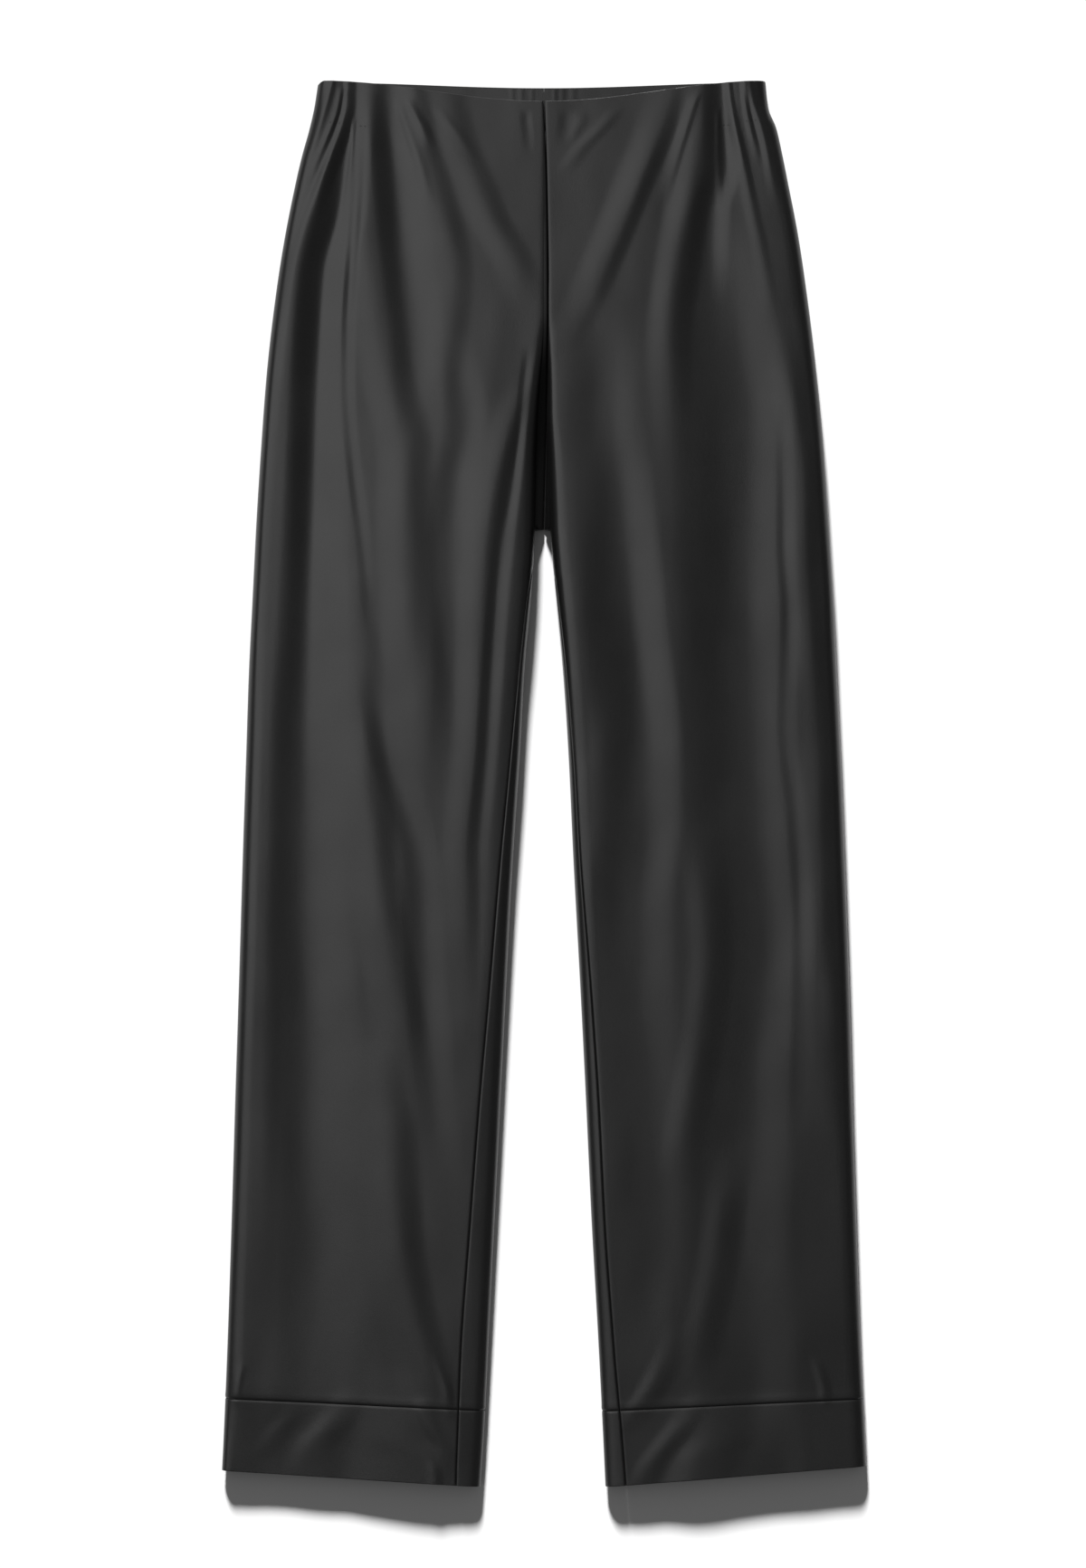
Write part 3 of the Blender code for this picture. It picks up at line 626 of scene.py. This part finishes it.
def top_heights(side, down, across, edge, inner):
    """Height of the upper surface across one row."""
    loft_side = section_value("loft_side", down)
    loft_inner = section_value("loft_inner", down)
    share = np.clip((edge - across) / (edge - section_value("inner_" + side, down)), 0.0, 1.0)
    loft = loft_side + (loft_inner - loft_side) * smooth_step(share)
    middle = MID_SHARE * loft
    relief = fold_relief(FOLDS, side, down, across) + fold_relief(GATHERS, side, down, across)
    relief *= smooth_step((edge - across) / RELIEF_FADE_SIDE)
    if down > CROTCH_DOWN:
        relief *= smooth_step((across - inner) / RELIEF_FADE_INNER)
        rise = edge_rise(edge - across, SIDE_SHOULDER) * edge_rise(across - inner, INNER_SHOULDER[side])
        return middle + (loft + relief - middle) * rise
    share = valley_value("share", down)
    gap = max(inner + MIN_WALL, valley_value("gap_" + side, down))
    roll = valley_value("roll_" + side, down)
    relief *= 1.0 - share * (1.0 - smooth_step((across - gap) / RELIEF_FADE_INNER))
    height = middle + (loft + relief - middle) * edge_rise(edge - across, SIDE_SHOULDER)
    rolled = middle + (height - middle) * edge_rise(across - gap, roll)
    wall = np.clip((across - inner) / (gap - inner), 0.0, 1.0)
    dropped = np.where(across > gap, rolled, VALLEY_FLOOR + (middle - VALLEY_FLOOR) * wall)
    return height + (dropped - height) * share


def bottom_heights(side, down, across, edge, inner):
    """Height of the underside across one row: flat on the floor but for rolled edges and creases."""
    loft_side = section_value("loft_side", down)
    loft_inner = section_value("loft_inner", down)
    lift = MID_SHARE * loft_side * (1.0 - quarter_round(edge - across, TIP_WIDTH))
    if down > CROTCH_DOWN:
        lift += MID_SHARE * loft_inner * (1.0 - quarter_round(across - inner, TIP_WIDTH))
    crease = fold_relief(BACK_CREASES, side, down, across)
    crease *= smooth_step((edge - across) / BACK_FADE) * smooth_step((across - max(inner, 0.0)) / BACK_FADE)
    return lift + crease


def section(side, down):
    """One row's section, walked from the inner end outwards underneath and back over the top.

    Gives the distance walked, the points, the inward normals, the side seam, and for each panel
    the place where its inner roll begins and its inner end.
    """
    edge, inner, _ = row_frame(side, down)
    tip = edge_samples(TIP_WIDTH)
    is_leg = down > CROTCH_DOWN
    back_inner = inner if is_leg else SEAM_GAP / 2
    roll = inner if is_leg else max(inner + MIN_WALL, valley_value("gap_" + side, down))
    wall = [] if is_leg else np.linspace(roll, inner, WALL_SAMPLES)[1:]
    under = np.concatenate((
        back_inner + tip,
        np.linspace(back_inner + TIP_WIDTH, edge - TIP_WIDTH, UNDER_SAMPLES)[1:-1],
        (edge - tip)[::-1],
    ))
    over = np.concatenate((
        edge - tip[1:],
        np.linspace(edge - TIP_WIDTH, roll + TIP_WIDTH, TOP_SAMPLES)[1:-1],
        (roll + tip)[::-1],
        wall,
    ))
    across = np.concatenate((under, over))
    heights = np.concatenate((
        bottom_heights(side, down, under, edge, inner),
        top_heights(side, down, over, edge, inner),
    ))
    split = len(under)
    if is_leg:
        across = np.concatenate((across[-LAP:-1], across, across[1:LAP]))
        heights = np.concatenate((heights[-LAP:-1], heights, heights[1:LAP]))
        split += LAP - 1
    walked = np.concatenate(([0.0], np.cumsum(np.hypot(np.diff(across), np.diff(heights)))))
    direction_x = np.gradient(across, walked)
    direction_z = np.gradient(heights, walked)
    length = np.hypot(direction_x, direction_z)
    normal_x = -direction_z / length
    normal_z = direction_x / length
    from_edge = (edge - across)[split - TIP_SAMPLES:split]
    side_seam = np.interp(SIDE_SEAM_UNDER, from_edge[::-1], walked[split - TIP_SAMPLES:split][::-1])
    if is_leg:
        start = walked[LAP - 1]
        finish = walked[-LAP]
        inseam = section_value("inseam_" + side, down)
        if inseam >= 0.0:
            from_inner = across[split:1 - LAP] - inner
            place = np.interp(inseam, from_inner[::-1], walked[split:1 - LAP][::-1])
            past = finish - place
        else:
            from_inner = across[LAP - 1:split] - inner
            past = start - np.interp(-inseam, from_inner, walked[LAP - 1:split])
        front_end = finish - past - SEAM_GAP / 2
        back_end = start - past + SEAM_GAP / 2
    else:
        start = walked[0]
        finish = walked[-1]
        front_end = finish
        back_end = start
    top_across = across[split:][::-1]
    top_walked = walked[split:][::-1]
    above = (top_walked <= finish) & (top_walked > side_seam)
    front = (np.interp(roll + ROLL_REACH, top_across[above], top_walked[above]), front_end)
    back = (start + ROLL_REACH, back_end)
    return walked, across, heights, normal_x, normal_z, side_seam, {"front": front, "back": back}


def spread_columns(walked, normal_x, normal_z, start, roll, end, count):
    """Places of the columns along a row, close together where the cloth turns and at its ends."""
    heading = np.unwrap(np.arctan2(normal_z, normal_x))
    turned = np.concatenate(([0.0], np.cumsum(np.abs(np.diff(heading)))))
    effort = walked + TURN_WEIGHT * turned
    ends = np.array(SEAM_STEPS) * math.copysign(1.0, end - start)
    first, middle, last = np.interp((start + ends[-1], roll, end - ends[-1]), walked, effort)
    flat_columns = count - ROLL_COLUMNS - 2 * (len(ends) - 1)
    places = np.concatenate((
        np.linspace(first, middle, flat_columns + 1),
        np.linspace(middle, last, ROLL_COLUMNS + 1)[1:],
    ))
    return np.concatenate((start + ends[:-1], np.interp(places, effort, walked), (end - ends[:-1])[::-1]))


def turn_depth(distance, turn):
    """How deep the outer face lies at a distance from an edge that turns in."""
    depth, width, power = turn
    return depth * np.clip(1.0 - distance / width, 0.0, 1.0) ** power


def end_depth(down, rows, turns):
    """How deep the outer face lies at a row because of the turns at a piece's top and low ends."""
    top, low = turns
    from_low = rows[-1] - down
    depth = max(turn_depth(down - rows[0], top), turn_depth(from_low, low))
    if low is SEAM_TURN:
        depth -= SEAM_PUFF * swell(abs(from_low - SEAM_PUFF_AT), SEAM_PUFF_WIDTH)
    return depth


def waist_dip(part, across):
    """How far the waist edge of the front or the back lies below its highest line."""
    share = np.clip(np.abs(across) / WAIST_HALF, 0.0, 1.0)
    corner = np.clip((np.abs(across) - WAIST_HALF) / WAIST_CORNER + 1.0, 0.0, 1.0)
    return WAIST_DIP[part] * np.cos(share * math.pi / 2) ** 2 + WAIST_CORNER_DROP * corner**2


def ripple_height(side, across):
    """Height of the casing's upright ripples across one row."""
    height = np.zeros_like(across)
    for place, half_width, rise in RIPPLES[side]:
        height += rise * swell(np.abs(across - place), half_width)
    return height


def row_points(side, part, down, outer_depth, cloth, margin, row_depth):
    """Outer and inner points of one row of a piece; its outer face turns in at its edges."""
    walked, across, heights, normal_x, normal_z, side_seam, ends = section(side, down)
    roll, end = ends[part]
    if part == "front":
        start = side_seam + SEAM_GAP / 2
    else:
        start = side_seam - SEAM_GAP / 2 - margin
    stations = spread_columns(walked, normal_x, normal_z, start, roll, end, COLUMNS[part])
    near = np.minimum(np.abs(stations - start), np.abs(stations - end))
    turn = np.maximum(turn_depth(near, SEAM_TURN), row_depth) + min(row_depth, 0.0)
    edge, inner, slant = row_frame(side, down)
    faces = []
    # Only the casing lies deeper than the solid's outer face, and its inner face has the ripples.
    ripple = ripple_height(side, np.interp(stations, walked, across)) if outer_depth else 0.0
    for depth in (outer_depth + turn, outer_depth + cloth + ripple):
        x = np.interp(stations, walked, across) + depth * np.interp(stations, walked, normal_x)
        z = np.interp(stations, walked, heights) + depth * np.interp(stations, walked, normal_z)
        share = np.clip((edge - x) / (edge - inner), 0.0, 1.0)
        dip = waist_dip(part, x) * max(0.0, 1.0 - down / DIP_FADE)
        y = LENGTH / 2 - down - slant * share - dip
        faces.append(np.stack((SIDE_SIGN[side] * x, y, z), axis=1) * MM)
    return faces


def cloth_piece(name, side, part, rows, turns, materials, outer_depth=0.0, cloth=CLOTH, margin=0.0):
    """One closed shell of cloth: an outer and an inner face and the rim between them."""
    pairs = [
        row_points(side, part, down, outer_depth, cloth, margin, end_depth(down, rows, turns))
        for down in rows
    ]
    outer = np.array([pair[0] for pair in pairs])
    inner = np.array([pair[1] for pair in pairs])
    height, width = outer.shape[:2]
    count = height * width
    index = np.arange(count).reshape(height, width)
    top = np.stack((index[:-1, :-1], index[:-1, 1:], index[1:, 1:], index[1:, :-1]), axis=-1).reshape(-1, 4)
    low = top[:, ::-1] + count
    rims = []
    for line, flip in ((index[0], True), (index[-1], False), (index[:, 0], False), (index[:, -1], True)):
        rim = np.stack((line[:-1], line[1:], line[1:] + count, line[:-1] + count), axis=-1)
        rims.append(rim[:, ::-1] if flip else rim)
    faces = np.concatenate([top, low, *rims])
    mesh = bpy.data.meshes.new(name)
    mesh.from_pydata(np.concatenate((outer, inner)).reshape(-1, 3).tolist(), [], faces.tolist())
    mesh.update()
    # The grid's turning sense depends on the side and on which way the row is walked.
    if signed_volume(mesh) < 0.0:
        mesh.flip_normals()
    slots = np.zeros(len(faces), np.int32)
    slots[len(top):len(top) + len(low)] = 1
    mesh.materials.append(materials[0])
    mesh.materials.append(materials[1])
    mesh.polygons.foreach_set("material_index", slots)
    mesh.shade_smooth()
    mesh.set_sharp_from_angle(angle=SHARP_ANGLE)
    piece = bpy.data.objects.new(name, mesh)
    bpy.context.collection.objects.link(piece)
    row_lengths = np.linalg.norm(np.diff(outer, axis=1), axis=2).sum(axis=1)
    column_lengths = np.linalg.norm(np.diff(outer, axis=0), axis=2).sum(axis=0)
    middle_rows = (row_lengths[:-1] + row_lengths[1:]) / 2
    steps = np.linalg.norm(np.diff(outer, axis=0), axis=2).mean(axis=1)
    cut = {
        "width": float(row_lengths.max()),
        "length": float(column_lengths.max()),
        "area": float((middle_rows * steps).sum()),
    }
    return piece, cut


def stitch_rings(work, line, begin):
    """The rings of one stitch, which starts at a distance across and lies along its line."""
    rings = []
    for share in THREAD_STATIONS:
        across = begin + share * STITCH_LENGTH
        along = (across - line["begin"]) / (line["end"] - line["begin"])
        down = line["down_begin"] + (line["down_end"] - line["down_begin"]) * along
        rise = math.sin(math.pi * share)
        lift = THREAD_LIFT - THREAD_DIP * (1.0 - rise)
        x, y, z = cloth_point(line["side"], line["part"], down, across, lift)
        radius = THREAD_RADIUS * (THREAD_END + (1.0 - THREAD_END) * rise)
        ring = []
        for k in range(THREAD_SIDES):
            angle = 2.0 * math.pi * k / THREAD_SIDES
            point = (SIDE_SIGN[line["side"]] * x, y + radius * math.cos(angle), z + radius * math.sin(angle))
            ring.append(work.verts.new(tuple(value * MM for value in point)))
        rings.append(ring)
    return rings


def stitch_lines(name):
    """The casing's stitches: short round threads, each pulled into the cloth at its ends."""
    work = bmesh.new()
    for values in STITCH_LINES:
        line = dict(zip(STITCH_COLUMNS, values))
        for begin in np.arange(line["begin"], line["end"] - STITCH_LENGTH / 2, STITCH_STEP):
            rings = stitch_rings(work, line, begin)
            for one, two in zip(rings[:-1], rings[1:]):
                for k in range(THREAD_SIDES):
                    after = (k + 1) % THREAD_SIDES
                    work.faces.new((one[k], one[after], two[after], two[k]))
            work.faces.new(rings[0][::-1])
            work.faces.new(rings[-1])
    bmesh.ops.recalc_face_normals(work, faces=work.faces)
    mesh = bpy.data.meshes.new(name)
    work.to_mesh(mesh)
    work.free()
    mesh.shade_smooth()
    item = bpy.data.objects.new(name, mesh)
    bpy.context.collection.objects.link(item)
    return item


def cloth_point(side, part, down, across, rise):
    """A point just off the outer surface of the front or the back, across one row."""
    walked, places, heights, normal_x, normal_z, side_seam, _ = section(side, down)
    on_top = walked > side_seam if part == "front" else walked < side_seam
    order = np.argsort(places[on_top])
    sorted_places = places[on_top][order]
    x, z, lean_x, lean_z = (
        np.interp(across, sorted_places, values[on_top][order])
        for values in (places, heights, normal_x, normal_z)
    )
    dip = waist_dip(part, np.array([x]))[0] * max(0.0, 1.0 - down / DIP_FADE)
    return x - rise * lean_x, LENGTH / 2 - down - dip, z - rise * lean_z


def signed_volume(mesh):
    """Volume inside a closed mesh, negative where its faces point inwards."""
    points = np.zeros(len(mesh.vertices) * 3, np.float32)
    mesh.vertices.foreach_get("co", points)
    points = points.reshape(-1, 3).astype(float)
    mesh.calc_loop_triangles()
    corners = np.zeros(len(mesh.loop_triangles) * 3, np.int32)
    mesh.loop_triangles.foreach_get("vertices", corners)
    a, b, c = (points[corners.reshape(-1, 3)[:, k]] for k in range(3))
    return float((a * np.cross(b, c)).sum() / 6.0)


# ------------------------------------------------------------------------------- materials

def new_material(name):
    """A material with its shader and a helper that adds nodes to it."""
    material = bpy.data.materials.new(name)
    material.use_nodes = True
    tree = material.node_tree
    shader = tree.nodes["Principled BSDF"]

    def add(kind, inputs=None, **settings):
        node = tree.nodes.new(kind)
        for key, value in settings.items():
            setattr(node, key, value)
        for key, value in (inputs or {}).items():
            if isinstance(value, bpy.types.NodeSocket):
                tree.links.new(value, node.inputs[key])
            else:
                node.inputs[key].default_value = value
        return node

    return material, tree, shader, add


def set_grey(tree, shader, add, value, low, high, from_low=0.0, from_high=1.0):
    """Colour a material grey, from a low to a high tone as a pattern's value rises."""
    tint = add("ShaderNodeMapRange", {"Value": value, "From Min": from_low, "From Max": from_high,
                                      "To Min": low, "To Max": high})
    tone = tint.outputs["Result"]
    colour = add("ShaderNodeCombineColor", {"Red": tone, "Green": tone, "Blue": tone})
    tree.links.new(colour.outputs["Color"], shader.inputs["Base Color"])


def set_bump(tree, shader, add, height, strength, distance, under=None):
    """Give a material a bump, on top of another one where it is given."""
    inputs = {"Height": height, "Strength": strength, "Distance": distance}
    if under:
        inputs["Normal"] = under.outputs["Normal"]
    bump = add("ShaderNodeBump", inputs)
    tree.links.new(bump.outputs["Normal"], shader.inputs["Normal"])


def leather_material():
    """Black faux leather: a satin coating with a fine pressed grain."""
    material, tree, shader, add = new_material("faux_leather_black")
    place = add("ShaderNodeTexCoord").outputs["Object"]
    fine = add("ShaderNodeTexVoronoi", {"Vector": place, "Scale": 1500.0}, feature="SMOOTH_F1")
    soft = add("ShaderNodeTexNoise", {"Vector": place, "Scale": 700.0, "Detail": 3.0})
    cloud = add("ShaderNodeTexNoise", {"Vector": place, "Scale": 22.0, "Detail": 2.0})
    grain = add("ShaderNodeMath", {0: fine.outputs["Distance"], 1: soft.outputs["Fac"]}, operation="ADD")
    stretched = add("ShaderNodeMapping", {"Vector": place, "Scale": (1.0, 0.45, 1.0)}).outputs["Vector"]
    wide = add("ShaderNodeTexNoise", {"Vector": stretched, "Scale": 20.0, "Detail": 1.0})
    soft_bump = add("ShaderNodeBump", {"Height": wide.outputs["Fac"], "Strength": 1.0, "Distance": 0.0014})
    set_bump(tree, shader, add, grain.outputs[0], 0.25, 0.00012, soft_bump)
    rough = add("ShaderNodeMapRange", {"Value": cloud.outputs["Fac"], "From Min": 0.3, "From Max": 0.7,
                                       "To Min": 0.32, "To Max": 0.36})
    tree.links.new(rough.outputs["Result"], shader.inputs["Roughness"])
    set_grey(tree, shader, add, soft.outputs["Fac"], 0.005, 0.008, 0.3, 0.7)
    shader.inputs["Specular IOR Level"].default_value = 0.5
    return material


def backing_material():
    """The knitted black backing on the inner side of the faux leather."""
    material, tree, shader, add = new_material("knit_backing_black")
    place = add("ShaderNodeTexCoord").outputs["Object"]
    ribs = add("ShaderNodeTexWave", {"Vector": place, "Scale": 420.0, "Distortion": 1.5}, bands_direction="X")
    fuzz = add("ShaderNodeTexNoise", {"Vector": place, "Scale": 900.0, "Detail": 2.0})
    weave = add("ShaderNodeMath", {0: ribs.outputs["Fac"], 1: fuzz.outputs["Fac"]}, operation="ADD")
    set_bump(tree, shader, add, weave.outputs[0], 0.4, 0.0002)
    set_grey(tree, shader, add, fuzz.outputs["Fac"], 0.012, 0.03)
    shader.inputs["Roughness"].default_value = 0.8
    return material


def thread_material():
    """Black sewing thread with a fine twist."""
    material, tree, shader, add = new_material("thread_black")
    place = add("ShaderNodeTexCoord").outputs["Object"]
    twist = add(
        "ShaderNodeTexWave", {"Vector": place, "Scale": 900.0, "Distortion": 0.5}, bands_direction="DIAGONAL",
    )
    set_bump(tree, shader, add, twist.outputs["Fac"], 0.4, 0.0001)
    set_grey(tree, shader, add, twist.outputs["Fac"], 0.012, 0.03)
    shader.inputs["Roughness"].default_value = 0.45
    return material


def floor_material():
    """A plain pale floor with a faint unevenness."""
    material, tree, shader, add = new_material("pale_floor")
    place = add("ShaderNodeTexCoord").outputs["Object"]
    cloud = add("ShaderNodeTexNoise", {"Vector": place, "Scale": 3.0, "Detail": 2.0})
    set_grey(tree, shader, add, cloud.outputs["Fac"], 0.86, 0.88)
    shader.inputs["Roughness"].default_value = 0.9
    shader.inputs["Specular IOR Level"].default_value = 0.1
    return material


# ------------------------------------------------------------------------ the cloth pieces

leather = leather_material()
backing = backing_material()
pieces = {}
for side in SIDES:
    for part in ("front", "back"):
        name = f"{part}_panel_{side}"
        pieces[name] = cloth_piece(
            name + "_cloth", side, part, panel_rows(side), (WAIST_TURN, SEAM_TURN), (leather, backing),
        )
        name = f"hem_band_{part}_{side}"
        pieces[name] = cloth_piece(
            name + "_cloth", side, part, band_rows(side), (BAND_TURN, WAIST_TURN), (leather, backing),
        )
    name = f"waist_casing_{side}"
    rows = spaced(CASING_TOP, CASING_DEPTH, CASING_STEP)
    pieces[name] = cloth_piece(
        name + "_cloth", side, "back", rows, (NO_TURN, NO_TURN), (backing, leather),
        outer_depth=SOLID_CLOTH + SOLID_GAP, cloth=CASING_CLOTH, margin=CASING_MARGIN,
    )

for name, (piece, cut) in pieces.items():
    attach(piece, "root")
    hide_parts(name)

stitches = stitch_lines("casing_stitches")
stitches.data.materials.append(thread_material())
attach(stitches, "root")

# ------------------------------------------------------------------ floor, light and camera

# Lengths here are in metres, but for the sensor's width in millimetres, and angles in degrees.
FLOOR_HALF = 6.0
FLOOR_LOW = 0.0003
CAMERA_HEIGHT = 4.0
SEEN_HEIGHT = 0.008
VIEW_HEIGHT = 1.18286
FRAME_CENTRE = (-0.0007, 0.0)
SENSOR = 24.0
SUN_SPREAD = 7.0
SUN_ELEVATION = 20.0
SUN_BEARING = 97.0
SUN_ON_FLOOR = 10.2
SUN_ON_GARMENT = 3.4
PANEL_X = -5.05
PANEL_Y = 1.85
PANEL_HEIGHT = 7.0
PANEL_SIZE = (9.9, 6.1)
PANEL_POWER = 344.0
DOME = 0.12
FAR_CLIP = 50.0


def make_floor():
    """A wide plain floor just under the garment."""
    mesh = bpy.data.meshes.new("floor")
    half = FLOOR_HALF
    low = -FLOOR_LOW
    corners = [(-half, -half, low), (half, -half, low), (half, half, low), (-half, half, low)]
    mesh.from_pydata(corners, [], [(0, 1, 2, 3)])
    mesh.materials.append(floor_material())
    floor = bpy.data.objects.new("floor", mesh)
    bpy.context.collection.objects.link(floor)
    return floor


def aim(item, target):
    """Turn a light or camera so that it looks at a point."""
    direction = Vector(target) - item.location
    item.rotation_euler = direction.to_track_quat("-Z", "Y").to_euler()


def area_light(name, place, size, power, target):
    """A soft rectangular studio light."""
    data = bpy.data.lights.new(name, "AREA")
    data.shape = "RECTANGLE"
    data.size, data.size_y = size
    data.energy = power
    item = bpy.data.objects.new(name, data)
    bpy.context.collection.objects.link(item)
    item.location = place
    aim(item, target)
    return item


def sun(name, energy, lit):
    """A low soft sun from beyond the waist that lights only the things in a collection."""
    data = bpy.data.lights.new(name, "SUN")
    data.energy = energy
    data.angle = math.radians(SUN_SPREAD)
    item = bpy.data.objects.new(name, data)
    bpy.context.collection.objects.link(item)
    elevation = math.radians(SUN_ELEVATION)
    bearing = math.radians(SUN_BEARING)
    flat = math.cos(elevation)
    item.location = (flat * math.cos(bearing), flat * math.sin(bearing), math.sin(elevation))
    aim(item, (0.0, 0.0, 0.0))
    item.light_linking.receiver_collection = lit


def lit_group(name, items):
    """A collection of the things that a light falls on."""
    group = bpy.data.collections.new(name)
    for item in items:
        group.objects.link(item)
    return group


def make_light(floor):
    """A low key light from beyond the waist, a wide soft panel up on the left, and a dim dome."""
    garment = lit_group("garment_light", [piece for piece, _ in pieces.values()])
    ground = lit_group("floor_light", [floor])
    sun("key_on_floor", SUN_ON_FLOOR, ground)
    sun("key_on_garment", SUN_ON_GARMENT, garment)
    place = (PANEL_X, PANEL_Y, PANEL_HEIGHT)
    panel = area_light("soft_panel", place, PANEL_SIZE, PANEL_POWER, (PANEL_X, PANEL_Y, 0.0))
    panel.light_linking.receiver_collection = garment
    panel.visible_camera = False
    world = bpy.data.worlds.new("studio")
    world.use_nodes = True
    background = world.node_tree.nodes["Background"]
    background.inputs["Color"].default_value = (1.0, 1.0, 1.0, 1.0)
    background.inputs["Strength"].default_value = DOME
    bpy.context.scene.world = world


def make_camera():
    """A camera that looks straight down on the garment, waist at the top of the picture."""
    data = bpy.data.cameras.new("camera")
    data.sensor_width = SENSOR
    data.lens = SENSOR * (CAMERA_HEIGHT - SEEN_HEIGHT) / VIEW_HEIGHT
    data.clip_end = FAR_CLIP
    camera = bpy.data.objects.new("camera", data)
    bpy.context.collection.objects.link(camera)
    camera.location = (*FRAME_CENTRE, CAMERA_HEIGHT)
    bpy.context.scene.camera = camera


make_light(make_floor())
make_camera()
bpy.context.scene.view_settings.view_transform = "Standard"
